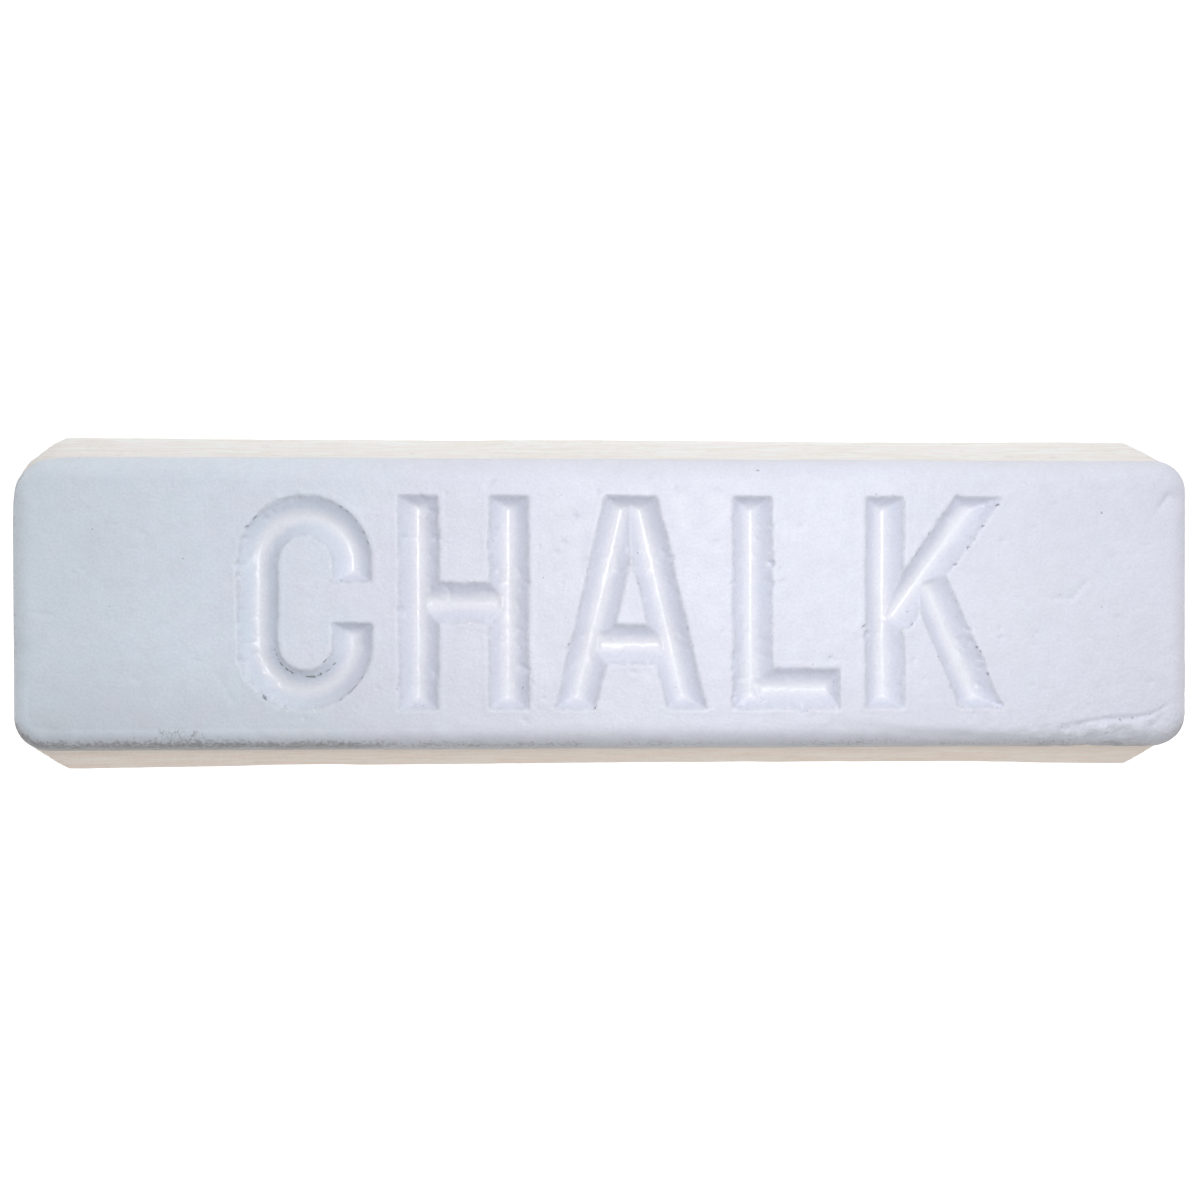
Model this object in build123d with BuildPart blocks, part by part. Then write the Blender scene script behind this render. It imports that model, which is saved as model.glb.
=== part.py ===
from build123d import *
import math
import os

# A bar of gymnastics chalk, cast in one piece in an open mould.
# It lies on its widest face. The lettered face, which was the bottom of the mould, is up.
# X runs along the bar, Y across it and up the letters, Z out of the lettered face.
# The origin is the middle of the base. Lengths are in millimetres, angles in degrees.

# The bar: the face is measured to its sharp outline, before its edge is rounded.
face_length = 200.0
face_width = 48.0
block_height = 40.0
draft_angle = 12.0
corner_radius = 5.2
face_edge_radius = 4.0
base_edge_radius = 0.8

# The word: five letters sunk in the face by raised strokes in the mould.
letter_margin = 5.9
letter_gap = 4.3
word_offset = 2.4
c_width = 22.5
c_opening = 6.7
h_width = 22.0
a_width = 26.0
a_apex_width = 9.0
a_bar_drop = 7.0
l_width = 18.5
k_width = 24.0
k_knee_drop = 4.5
k_leg_start = 0.42

# The section of a stroke: a blunt V with a narrow floor that is rounded into its flanks.
stroke_width = 6.8
floor_width = 1.4
groove_depth = 3.2
floor_rounding = 0.9

# The base is larger than the face by what the draft adds on each side.
wall_spread = block_height * math.tan(math.radians(draft_angle))
base_length = face_length + 2 * wall_spread
base_width = face_width + 2 * wall_spread

# Letters fill the face between its margins, and the word is their widths and gaps added up.
letter_height = face_width - 2 * letter_margin
half_letter = letter_height / 2
half_stroke = stroke_width / 2
letter_widths = [c_width, h_width, a_width, l_width, k_width]
word_length = sum(letter_widths) + letter_gap * (len(letter_widths) - 1)

# The flanks lean from the stroke's edge to the floor's edge.
# The floor's rounding takes up a share of the half floor on each side.
flank_angle = math.degrees(math.atan2((stroke_width - floor_width) / 2, groove_depth))
floor_turn = math.radians(90 - flank_angle)
floor_radius = floor_rounding * floor_width / 2 / math.tan(floor_turn / 2)


def raised_stroke(outline):
    """A stroke of the mould: as wide as its outline at the face, narrowing down to its floor."""
    with BuildPart() as stroke:
        add(outline)
        extrude(amount=-groove_depth, taper=flank_angle)
        floor_edges = stroke.faces().sort_by(Axis.Z)[0].edges()
        side_edges = floor_edges.filter_by(lambda edge: edge.length > 2 * floor_width)
        fillet(side_edges, radius=floor_radius)
    return stroke.part


def leaning_stroke(foot_x, foot_y, top_x, top_y):
    """A stroke between two points of its centre line, cut level at both ends."""
    lean = math.atan2(top_x - foot_x, top_y - foot_y)
    half_cut = half_stroke / math.cos(lean)
    with BuildSketch() as outline:
        with BuildLine():
            Polyline(
                (foot_x - half_cut, foot_y),
                (foot_x + half_cut, foot_y),
                (top_x + half_cut, top_y),
                (top_x - half_cut, top_y),
                close=True,
            )
        make_face()
    return raised_stroke(outline.sketch)


def upright_stroke(x):
    """A stroke of full letter height, centred on x."""
    return leaning_stroke(x, -half_letter, x, half_letter)


def level_stroke(x_start, x_end, y):
    """A stroke along the word, centred on y."""
    with BuildSketch() as outline:
        with Locations(((x_start + x_end) / 2, y)):
            Rectangle(x_end - x_start, stroke_width)
    return raised_stroke(outline.sketch)


def letter_c():
    """A tall ring with straight sides, open to the right between ends that slope as its flanks do."""
    with BuildSketch() as ring:
        SlotOverall(letter_height, c_width, rotation=90)
        offset(amount=-stroke_width, mode=Mode.SUBTRACT)
    with BuildPart() as letter:
        add(raised_stroke(ring.sketch))
        with BuildSketch():
            with Locations((c_width / 2, 0)):
                Rectangle(c_width, c_opening)
        extrude(amount=-groove_depth, taper=-flank_angle, mode=Mode.SUBTRACT)
    return [letter.part]


def letter_h():
    """Two uprights joined half way up."""
    side = h_width / 2 - half_stroke
    return [upright_stroke(-side), upright_stroke(side), level_stroke(-side, side, 0)]


def letter_a():
    """Two legs that lean together, and a bar between their centre lines."""
    lean = math.atan2((a_width - a_apex_width) / 2, letter_height)
    half_cut = half_stroke / math.cos(lean)
    foot = a_width / 2 - half_cut
    apex = a_apex_width / 2 - half_cut
    bar_end = foot - (foot - apex) * (half_letter - a_bar_drop) / letter_height
    return [
        leaning_stroke(-foot, -half_letter, -apex, half_letter),
        leaning_stroke(foot, -half_letter, apex, half_letter),
        level_stroke(-bar_end, bar_end, -a_bar_drop),
    ]


def letter_l():
    """An upright with a foot."""
    side = l_width / 2 - half_stroke
    foot_line = half_stroke - half_letter
    return [upright_stroke(-side), level_stroke(-side, l_width / 2, foot_line)]


def letter_k():
    """An upright, an arm that rises from it, and a leg that leaves the arm."""
    side = k_width / 2 - half_stroke
    arm_rise = half_letter + k_knee_drop
    arm_end = k_width / 2 - half_stroke / math.cos(math.atan2(2 * side, arm_rise))
    leg_x = -side + (arm_end + side) * k_leg_start
    leg_y = -k_knee_drop + arm_rise * k_leg_start
    leg_lean = math.atan2(side - leg_x, leg_y + half_letter)
    leg_end = k_width / 2 - half_stroke / math.cos(leg_lean)
    return [
        upright_stroke(-side),
        leaning_stroke(-side, -k_knee_drop, arm_end, half_letter),
        leaning_stroke(leg_end, -half_letter, leg_x, leg_y),
    ]


# The raised word of the mould, in its place at the level of the face.
word_letters = [letter_c(), letter_h(), letter_a(), letter_l(), letter_k()]
with BuildPart() as mould_word:
    letter_left = word_offset - word_length / 2
    for letter_width, strokes in zip(letter_widths, word_letters):
        with Locations((letter_left + letter_width / 2, 0, block_height)):
            for stroke in strokes:
                add(stroke)
        letter_left += letter_width + letter_gap

# The bar leaves its mould with drafted walls and soft edges, and with the word sunk in it.
with BuildPart() as chalk_block:
    with BuildSketch():
        Rectangle(base_length, base_width)
    extrude(amount=block_height, taper=draft_angle)
    fillet(chalk_block.edges().group_by(Axis.Z)[1], radius=corner_radius)
    fillet(chalk_block.faces().sort_by(Axis.Z)[-1].edges(), radius=face_edge_radius)
    fillet(chalk_block.faces().sort_by(Axis.Z)[0].edges(), radius=base_edge_radius)
    add(mould_word.part, mode=Mode.SUBTRACT)

chalk_block.part.label = "chalk_block"
os.makedirs("parts", exist_ok=True)
export_step(chalk_block.part, "parts/chalk_block.step")

print("base", round(base_length, 2), "x", round(base_width, 2), "mm")
print("word", round(word_length, 2), "x", round(letter_height, 2), "mm")
print("volume", round(chalk_block.part.volume / 1000, 1), "cm3, one solid:",
      len(chalk_block.part.solids()) == 1)
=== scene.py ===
# %% [markdown]
# # A cast bar of gymnastics chalk
# The real object is one lump of magnesium carbonate. It is cast in an open mould: the lettered
# face lies against the bottom of the mould, the walls against its sloping sides, and the base is
# where the mould was filled and struck level. The bar is shown turned over, with its word up.
# This lesson models that one piece as a single closed surface worked out with numpy, gives it a
# chalk finish made of shader nodes, and lights it softly on a white floor.

# %% Load the frame
import math

import bpy
import numpy as np
from mathutils import Matrix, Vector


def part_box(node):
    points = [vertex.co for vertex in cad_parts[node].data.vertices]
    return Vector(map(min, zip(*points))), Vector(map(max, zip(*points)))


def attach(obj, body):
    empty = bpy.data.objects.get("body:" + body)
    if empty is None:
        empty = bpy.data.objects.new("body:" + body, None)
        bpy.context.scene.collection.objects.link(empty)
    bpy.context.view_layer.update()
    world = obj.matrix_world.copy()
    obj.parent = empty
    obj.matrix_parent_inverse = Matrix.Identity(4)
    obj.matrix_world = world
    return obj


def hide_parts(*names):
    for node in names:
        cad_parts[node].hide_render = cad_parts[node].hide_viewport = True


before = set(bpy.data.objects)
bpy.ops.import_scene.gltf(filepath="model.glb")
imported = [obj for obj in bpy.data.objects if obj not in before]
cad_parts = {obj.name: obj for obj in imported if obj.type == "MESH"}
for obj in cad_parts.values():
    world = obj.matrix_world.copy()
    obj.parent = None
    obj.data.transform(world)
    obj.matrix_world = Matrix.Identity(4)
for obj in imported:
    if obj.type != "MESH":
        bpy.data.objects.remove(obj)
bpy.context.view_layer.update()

# %% [markdown]
# ## The sizes of the bar
# All shapes below are worked out in millimetres and turned into metres when a mesh is made.
# The overall size is read from the frame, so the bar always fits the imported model. What the
# frame can't say is the design behind that size: how much the walls lean, and how round the
# edges are. The sharp outline of the face follows from those.

# %% Sizes, in millimetres
MM = 0.001
node_low, node_high = (np.array(corner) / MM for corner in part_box("chalk_block"))
bar_height = node_high[2] - node_low[2]
draft = math.radians(12.0)
corner_radius = 5.2
face_edge_radius = 4.0
base_edge_radius = 0.8

rounding_loss = base_edge_radius * (math.tan(draft) + 1 / math.cos(draft) - 1)
half_base = (node_high - node_low)[:2] / 2 + rounding_loss
half_face = half_base - bar_height * math.tan(draft)
flat_inset = face_edge_radius * (1 - math.sin(draft)) / math.cos(draft)
flat_corner = corner_radius - flat_inset
half_core = half_face - corner_radius
print("face", np.round(2 * half_face, 2), "base", np.round(2 * half_base, 2))
print("height", round(bar_height, 2))

# %% [markdown]
# ## Smooth random fields
# Nothing on a cast lump is quite straight. Ready-made noise textures exist in Blender, but their
# values can't be read back as arrays, and the shape needs arrays. So here is a small noise of our
# own: random numbers sit at the corners of a grid of cubes, and a point takes a smooth blend of
# the eight corners around it. Finer, weaker layers are added on top.

# %% Noise on whole arrays
NOISE_TABLE = 8192
HASH_STEPS = (73856093, 19349663, 83492791)


def smooth_step(t):
    """Rises from 0 to 1 as t does, level at both ends: three t squared minus two t cubed."""
    t = np.clip(t, 0, 1)
    return t * t * (3 - 2 * t)


def soft_noise(points, seed):
    """Random from -1 to 1, one cube of the grid to each unit, blended with a smooth step."""
    values = np.random.default_rng(seed).uniform(-1, 1, NOISE_TABLE)
    cell = np.floor(points).astype(np.int64)
    near_high = smooth_step(points - cell)
    total = np.zeros(len(points))
    for corner in np.ndindex(2, 2, 2):
        place = (cell + corner) * HASH_STEPS
        index = (place[:, 0] ^ place[:, 1] ^ place[:, 2]) % NOISE_TABLE
        weight = np.where(corner, near_high, 1 - near_high).prod(axis=1)
        total += weight * values[index]
    return total


def cloud(points, size, seed, layers=2):
    """Noise of a size in mm, one number or one for each axis, each layer half the last."""
    total = np.zeros(len(points))
    for layer in range(layers):
        finer = 2**layer
        total += soft_noise(points * finer / np.array(size) + layer / 2, seed + layer) / finer
    return total


# %% [markdown]
# ## The word
# The maker's punch or mould raises each letter as a ridge, so the letter is a groove in the bar.
# The grooves could be cut with booleans, but then their lips would be perfectly sharp and even.
# Here each stroke is instead a distance: how far a point is inside the stroke's outline. The
# depth of the groove is a function of that distance, so lips can be worn and ends mitred, and
# strokes join by taking the larger distance.

# %% How far a point is inside a stroke
stroke_width = 6.8
letter_margin = 5.9
half_stroke = stroke_width / 2
letter_height = 2 * half_face[1] - 2 * letter_margin
half_letter = letter_height / 2
end_steepness = 1.6


def leaning_stroke(x, y, foot_x, foot_y, top_x, top_y):
    """Half the stroke's width less the distance to its centre line, or the distance to its level
    ends where that is less. Negative outside."""
    run, rise = top_x - foot_x, top_y - foot_y
    from_centre = np.abs((x - foot_x) * rise - (y - foot_y) * run) / math.hypot(run, rise)
    from_end = np.minimum(y - foot_y, top_y - y)
    return np.minimum(half_stroke - from_centre, end_steepness * from_end)


def upright_stroke(x, y, centre):
    """A leaning stroke of full letter height that doesn't lean."""
    return leaning_stroke(x, y, centre, -half_letter, centre, half_letter)


def level_stroke(x, y, start, end, centre):
    """The same as an upright stroke, turned to run along the word."""
    from_end = np.minimum(x - start, end - x)
    return np.minimum(half_stroke - np.abs(y - centre), end_steepness * from_end)


# %% The five letters
c_width, c_opening = 22.5, 6.7
h_width = 22.0
a_width, a_apex_width, a_bar_drop = 26.0, 9.0, 7.0
l_width = 18.5
k_width, k_knee_drop, k_leg_start = 24.0, 4.5, 0.42


def letter_c(x, y):
    """A ring round a standing line, half a stroke to each side, with a gap cut on its right."""
    straight = half_letter - c_width / 2
    from_line = np.hypot(x, np.maximum(np.abs(y) - straight, 0))
    ring = half_stroke - np.abs(from_line - (c_width / 2 - half_stroke))
    gap = np.where(x > 0, end_steepness * (np.abs(y) - c_opening / 2), half_letter)
    return np.minimum(ring, gap)


def letter_h(x, y):
    """Two uprights and a level stroke between their centre lines."""
    side = h_width / 2 - half_stroke
    uprights = np.maximum(upright_stroke(x, y, -side), upright_stroke(x, y, side))
    return np.maximum(uprights, level_stroke(x, y, -side, side, 0))


def letter_a(x, y):
    """Two legs that lean together and a level stroke between their centre lines."""
    lean = math.atan2((a_width - a_apex_width) / 2, letter_height)
    half_cut = half_stroke / math.cos(lean)
    foot, apex = a_width / 2 - half_cut, a_apex_width / 2 - half_cut
    bar_end = foot - (foot - apex) * (half_letter - a_bar_drop) / letter_height
    left = leaning_stroke(x, y, -foot, -half_letter, -apex, half_letter)
    right = leaning_stroke(x, y, foot, -half_letter, apex, half_letter)
    return np.maximum(np.maximum(left, right), level_stroke(x, y, -bar_end, bar_end, -a_bar_drop))


def letter_l(x, y):
    """An upright and a foot."""
    side = l_width / 2 - half_stroke
    foot = level_stroke(x, y, -side, l_width / 2, half_stroke - half_letter)
    return np.maximum(upright_stroke(x, y, -side), foot)


def letter_k(x, y):
    """An upright, an arm that rises from it, and a leg that leaves the arm."""
    side = k_width / 2 - half_stroke
    arm_rise = half_letter + k_knee_drop
    arm_end = k_width / 2 - half_stroke / math.cos(math.atan2(2 * side, arm_rise))
    leg_x = -side + (arm_end + side) * k_leg_start
    leg_y = -k_knee_drop + arm_rise * k_leg_start
    leg_end = k_width / 2 - half_stroke / math.cos(math.atan2(side - leg_x, leg_y + half_letter))
    arm = leaning_stroke(x, y, -side, -k_knee_drop, arm_end, half_letter)
    leg = leaning_stroke(x, y, leg_end, -half_letter, leg_x, leg_y)
    return np.maximum(np.maximum(upright_stroke(x, y, -side), arm), leg)


# %% The word's outline
letter_gap = 4.3
word_offset = 2.4
letters = [
    (letter_c, c_width),
    (letter_h, h_width),
    (letter_a, a_width),
    (letter_l, l_width),
    (letter_k, k_width),
]
word_length = sum(width for _, width in letters) + letter_gap * (len(letters) - 1)
word_left = word_offset - word_length / 2


def inside_word(x, y):
    """The largest of the five letters' distances: positive in a stroke, negative between them."""
    nearest = np.full(x.shape, -letter_height)
    left = word_left
    for letter, width in letters:
        nearest = np.maximum(nearest, letter(x - left - width / 2, y))
        left += width + letter_gap
    return nearest


print("word", round(word_length, 1), "x", round(letter_height, 1), "mm")
print("its left end is at x =", round(word_left, 1))

# %% [markdown]
# ### Worn lips
# Chalk is weak, so the lip of each groove loses crumbs. The outline wanders a little everywhere
# and is nibbled in patches. Both come from noise that is added to the distance before it is
# turned into a depth, so a chip opens the groove and its slope at once.

# %% The outline with its chips
wander, wander_size = 0.14, 5.0
chip_depth, chip_size, chip_patch = 0.62, 1.1, 7.0
chip_sharpness = 1.5


def crumbled_word(x, y):
    """The distance inside the word, plus a slow wander, plus chips where a patchy mask allows."""
    points = np.stack([x, y, np.full(x.shape, bar_height)], axis=1)
    slow = wander * cloud(points, wander_size, seed=11)
    patch = smooth_step(cloud(points, chip_patch, seed=12) + 0.5)
    nibble = np.maximum(cloud(points, chip_size, seed=13), 0) ** chip_sharpness
    return inside_word(x, y) + slow + chip_depth * patch * nibble


# %% The section of a groove
groove_depth = 3.2
flank_power = 1.75
floor_ease = 0.11
lip_radius = 0.12


def groove_section(inside):
    """A rounded V: full depth less a power of how far the point is from the middle of the stroke.
    A square root of a sum of squares rounds the lip and the floor."""
    eased = (inside + np.hypot(inside, lip_radius)) / 2
    from_middle = np.hypot(1 - np.clip(eased / half_stroke, 0, 1), floor_ease)
    return groove_depth * (1 - from_middle**flank_power)


# %% [markdown]
# ## The grid of the face
# The face is a grid of cells: fine where the letters are, coarser beyond them. At the four
# corners the square grid has to end in a quarter circle. There each small square is bent onto a
# quarter disc, by letting the larger of its two sides be the radius and their ratio the angle.
# The outer line of the grid is then a smooth ring that the walls can start from.

# %% Grid lines
letter_cell = 0.32
plain_cell = 0.75
corner_cells = 5
word_border = 1.4
coarsening = 4


def even_lines(start, end, count):
    """The starts of count equal cells from start to end."""
    return start + (end - start) * np.arange(count) / count


def whole_cells(span, cell):
    """How many cells of about that size fit the span."""
    return int(round(span / cell))


def lines_along():
    """Lines across the bar's length, in a number of cells that the coarse walls can divide."""
    core, edge = half_core[0], half_core[0] + flat_corner
    start, end = word_left - word_border, word_left + word_length + word_border
    left_cells = whole_cells(start + core, plain_cell)
    right_cells = whole_cells(core - end, plain_cell)
    word_cells = whole_cells(end - start, letter_cell)
    word_cells -= (word_cells + left_cells + right_cells + 2 * corner_cells) % coarsening
    return np.concatenate([
        even_lines(-edge, -core, corner_cells),
        even_lines(-core, start, left_cells),
        even_lines(start, end, word_cells),
        even_lines(end, core, right_cells),
        even_lines(core, edge, corner_cells),
        [edge],
    ])


def lines_across():
    """Lines along the bar's width, likewise."""
    core, edge = half_core[1], half_core[1] + flat_corner
    cells = whole_cells(2 * core, letter_cell)
    cells -= (cells + 2 * corner_cells) % coarsening
    return np.concatenate([
        even_lines(-edge, -core, corner_cells),
        even_lines(-core, core, cells),
        even_lines(core, edge, corner_cells),
        [edge],
    ])


lines_x, lines_y = lines_along(), lines_across()
cells_x, cells_y = len(lines_x) - 1, len(lines_y) - 1
print("face grid", cells_x, "x", cells_y)

# %% The corner bend
def bend_corners(x, y):
    """Splits grid points into a place on the core rectangle, from -1 to 1 each way, a direction
    out of it, and a share of the corner radius. In a corner square, the larger side is the
    share and the ratio of the sides gives the angle, an eighth of a turn at the diagonal."""
    past_x = np.maximum(np.abs(x) - half_core[0], 0) / flat_corner
    past_y = np.maximum(np.abs(y) - half_core[1], 0) / flat_corner
    share = np.maximum(past_x, past_y)
    ratio = np.minimum(past_x, past_y) / np.maximum(share, 1e-9)
    angle = np.where(past_x >= past_y, ratio, 2 - ratio) * math.pi / 4
    core = np.stack([np.clip(x / half_core[0], -1, 1), np.clip(y / half_core[1], -1, 1)], axis=-1)
    out = np.stack([np.cos(angle) * np.sign(x), np.sin(angle) * np.sign(y)], axis=-1)
    return core, out, share


grid_x, grid_y = np.meshgrid(lines_x, lines_y, indexing="ij")
face_core, face_out, face_share = bend_corners(grid_x, grid_y)
face_xy = face_core * half_core + flat_corner * face_share[..., None] * face_out

# %% [markdown]
# ### Points on the lips
# A lip seldom passes through grid points, and a square grid would turn it into a staircase. So
# each point that is within half a cell of a lip slides onto it. The way to the lip is the slope
# of the distance, which is measured by two small steps to the side.

# %% Slide the nearest points onto the lips
least_steepness = 0.5


def slid_to_lips(x, y):
    """Points within half a cell of the outline move against the distance's slope, by the distance
    divided by that slope."""
    step = letter_cell / 4
    here = crumbled_word(x, y)
    slope_x = (crumbled_word(x + step, y) - here) / step
    slope_y = (crumbled_word(x, y + step) - here) / step
    steepness = np.maximum(np.hypot(slope_x, slope_y), least_steepness)
    move = np.where(np.abs(here) < steepness * letter_cell / 2, -here / steepness**2, 0)
    return x + move * slope_x, y + move * slope_y


face_x, face_y = slid_to_lips(face_xy[..., 0].ravel(), face_xy[..., 1].ravel())
moved = np.hypot(face_x - face_xy[..., 0].ravel(), face_y - face_xy[..., 1].ravel())
print("points slid onto lips", int((moved > 0).sum()), "farthest", round(moved.max(), 3), "mm")

# %% [markdown]
# ## Rings down the walls
# From the face's outer line down, the surface is a stack of rings. A ring is the core rectangle
# grown by an offset, with rounded corners. The first rings follow the soft edge of the face, the
# next ones the drafted wall, and the last ones the small edge of the base. Every second point is
# dropped twice on the way down, because the plain walls need fewer points than the letters. The
# corners get sharper towards the base, more so at the right end, as the mould's own corners do.

# %% The profile from the face's edge to the base
edge_steps = 8
fine_steps, half_steps, coarse_steps = 2, 5, 42
fine_row = 0.5
base_edge_steps = 3


def edge_arc(centre_offset, centre_height, radius, start, end, steps):
    """Offset, height and lean of the normal at steps points after start, round a circle."""
    lean = np.linspace(start, end, steps + 1)[1:]
    offset = centre_offset + radius * np.cos(lean)
    return np.stack([offset, centre_height + radius * np.sin(lean), lean], axis=1)


def wall_profile():
    """Rows of offset from the sharp face outline, height, and the normal's angle above level."""
    top_centre = bar_height - face_edge_radius
    up, down = math.pi / 2, -math.pi / 2
    top_arc = edge_arc(-flat_inset, top_centre, face_edge_radius, up, draft, edge_steps)
    base_centre = bar_height * math.tan(draft) - rounding_loss - base_edge_radius
    base_arc = edge_arc(
        base_centre, base_edge_radius, base_edge_radius, draft, down, base_edge_steps
    )
    wall_head = top_arc[-1, 1]
    wall_foot = base_edge_radius * (1 + math.sin(draft))
    fine_foot = wall_head - fine_row * (fine_steps + half_steps)
    fine_rows = np.linspace(wall_head, fine_foot, fine_steps + half_steps + 1)[1:]
    height = np.concatenate([fine_rows, np.linspace(fine_foot, wall_foot, coarse_steps + 1)[1:]])
    offset = (bar_height - height) * math.tan(draft)
    wall = np.stack([offset, height, np.full(len(height), draft)], axis=1)
    return np.concatenate([top_arc, wall, base_arc])


profile = wall_profile()
print("profile rows", len(profile), "widest offset", round(profile[:, 0].max(), 2))


# %% One ring
def outer_ring(grid):
    """The outer line of a grid, once round, anticlockwise seen from above."""
    return np.concatenate([grid[:-1, 0], grid[-1, :-1], grid[:0:-1, -1], grid[0, :0:-1]])


ring_core, ring_out = outer_ring(face_core), outer_ring(face_out)
left_sharpening, right_sharpening = 1.0, 2.7


def ring_points(offset, height, lean, every):
    """Places and normals of a ring. A positive offset grows the core and keeps the corner radius;
    a negative one shrinks the corner radius. What the corners lose in radius the core gains."""
    core, out = ring_core[::every], ring_out[::every]
    from_left = (1 + core[:, :1]) / 2
    sharper = left_sharpening + (right_sharpening - left_sharpening) * from_left
    sharper *= (bar_height - height) / bar_height
    radius = corner_radius + min(offset, 0) - sharper
    xy = core * (half_core + max(offset, 0) + sharper) + radius * out
    place = np.concatenate([xy, np.full((len(xy), 1), height)], axis=1)
    normal = np.concatenate([out * math.cos(lean), np.full((len(xy), 1), math.sin(lean))], axis=1)
    return place, normal


# %% [markdown]
# ## Joining it up
# The patches are joined by index: the face grid, its outer line, the rings, and a coarse grid for
# the base whose outer line is the last ring. Neighbouring rings with the same number of points
# make quads. Where every second point is dropped, three triangles bridge two cells to one.

# %% Faces between rings and in grids
def grid_quads(index):
    """Quads of a grid of vertex numbers, facing up when the grid runs along +X then +Y."""
    corners = [index[:-1, :-1], index[1:, :-1], index[1:, 1:], index[:-1, 1:]]
    return np.stack(corners, axis=-1).reshape(-1, 4)


def ring_quads(upper, lower):
    """Quads between two rings of the same length, facing outwards."""
    return np.stack([upper, lower, np.roll(lower, -1), np.roll(upper, -1)], axis=1)


def bridge_triangles(upper, lower):
    """Three triangles for each lower point, where the lower ring has half the points."""
    first, middle, last = upper[::2], upper[1::2], np.roll(upper[::2], -1)
    after = np.roll(lower, -1)
    rows = [(first, lower, middle), (middle, lower, after), (middle, after, last)]
    return np.concatenate([np.stack(row, axis=1) for row in rows])


def four_sides(ring):
    """Splits a ring that was once the outer line of the coarse base grid into that grid's front,
    right, back and left sides, each running towards +X or +Y."""
    nx, ny = cells_x // coarsening, cells_y // coarsening
    closed = np.concatenate([ring, ring[:1]])
    front, right = closed[: nx + 1], closed[nx : nx + ny + 1]
    back, left = closed[nx + ny : 2 * nx + ny + 1][::-1], closed[2 * nx + ny :][::-1]
    return front, right, back, left


def base_grid(ring):
    """A grid stretched across the last ring: each point blends the four sides, less the blend of
    the four corners."""
    front, right, back, left = four_sides(ring)
    u = ((lines_x - lines_x[0]) / (lines_x[-1] - lines_x[0]))[::coarsening, None, None]
    v = ((lines_y - lines_y[0]) / (lines_y[-1] - lines_y[0]))[None, ::coarsening, None]
    sides = (1 - v) * front[:, None] + v * back[:, None] + (1 - u) * left[None] + u * right[None]
    front_corners = (1 - v) * ((1 - u) * front[0] + u * front[-1])
    back_corners = v * ((1 - u) * back[0] + u * back[-1])
    return sides - front_corners - back_corners


# %% Assemble points, normals and faces
places, normals, quads, triangles = [], [], [], []


def add_vertices(place, normal):
    """Appends vertices and returns their numbers."""
    first = sum(len(earlier) for earlier in places)
    places.append(place)
    normals.append(normal)
    return first + np.arange(len(place))


face_points = np.stack([face_x, face_y, np.full(len(face_x), bar_height)], axis=1)
face_index = add_vertices(face_points, np.tile([0.0, 0.0, 1.0], (len(face_points), 1)))
face_index = face_index.reshape(cells_x + 1, cells_y + 1)
quads.append(grid_quads(face_index))

upper = outer_ring(face_index)
every = 1
halve_at = (edge_steps + fine_steps, edge_steps + fine_steps + half_steps)
for row, (offset, height, lean) in enumerate(profile):
    if row in halve_at:
        every *= 2
    lower = add_vertices(*ring_points(offset, height, lean, every))
    if row in halve_at:
        triangles.append(bridge_triangles(upper, lower))
    else:
        quads.append(ring_quads(upper, lower))
    upper = lower

base_points = base_grid(places[-1])
inner_points = base_points[1:-1, 1:-1].reshape(-1, 3)
base_index = np.zeros(base_points.shape[:2], dtype=int)
inner_index = add_vertices(inner_points, np.tile([0.0, 0.0, -1.0], (len(inner_points), 1)))
base_index[1:-1, 1:-1] = inner_index.reshape(base_points.shape[0] - 2, -1)
base_index[:, 0], base_index[-1], base_index[:, -1], base_index[0] = four_sides(upper)
quads.append(grid_quads(base_index)[:, ::-1])

place, normal = np.concatenate(places), np.concatenate(normals)
quads, triangles = np.concatenate(quads), np.concatenate(triangles)
print("vertices", len(place), "triangles", 2 * len(quads) + len(triangles))

# %% [markdown]
# ## What casting and handling did to the bar
# Each effect is a small displacement along the surface's own normal, so one array per effect is
# added up. Slow waves come from the mould, streaks along the walls from drawing the bar out of
# it, lumps and laps from paste that set before the mould was full, and dents from handling.

# %% Masks over the surface
# Each mask is 1 on its own part of the bar and falls smoothly to 0 beyond it.
x, y, z = place.T
facing_up = normal[:, 2]
flat_face = facing_up > 0.999
on_face = np.clip(facing_up, 0, 1) ** 8
on_base = smooth_step(-facing_up)
on_edge = smooth_step(1 - np.abs(facing_up - 0.7) / 0.45)
front_share = smooth_step(-2 * normal[:, 1])
front_edge = on_edge * front_share

# %% [markdown]
# ### The border of the skin
# The smooth skin runs over the edge and ends a little way down the walls. It reaches farthest down
# the front, most of all half way along it, and its border wanders.

# %% Where the skin ends
wall_top = bar_height - face_edge_radius * (1 - math.sin(draft))
back_drop, drop_wander = 1.0, 0.9
front_drop = 3.5 - 1.2 * smooth_step((np.abs(x + 5) - 40) / 35)
skin_drop = back_drop + front_drop * smooth_step(-1.02 * normal[:, 1])
skin_drop += drop_wander * cloud(place, 24.0, seed=29)
below_skin = wall_top - skin_drop - z
on_wall = smooth_step(below_skin + 0.5) * (1 - on_base)


# %% Marks along lines and at points
def bell(distance, width):
    """1 at no distance, falling off as a bell of the given half width."""
    return np.exp(-((distance / width) ** 2))


def from_line(start, end):
    """Distance in mm of every vertex from a straight line between two points."""
    start, end = np.array(start, dtype=float), np.array(end, dtype=float)
    along = np.clip(((place - start) @ (end - start)) / ((end - start) @ (end - start)), 0, 1)
    return np.linalg.norm(place - start - along[:, None] * (end - start), axis=1)


def from_path(points):
    """Distance in mm of every vertex from the nearest part of a bent line."""
    return np.min([from_line(start, end) for start, end in zip(points, points[1:])], axis=0)


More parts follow.
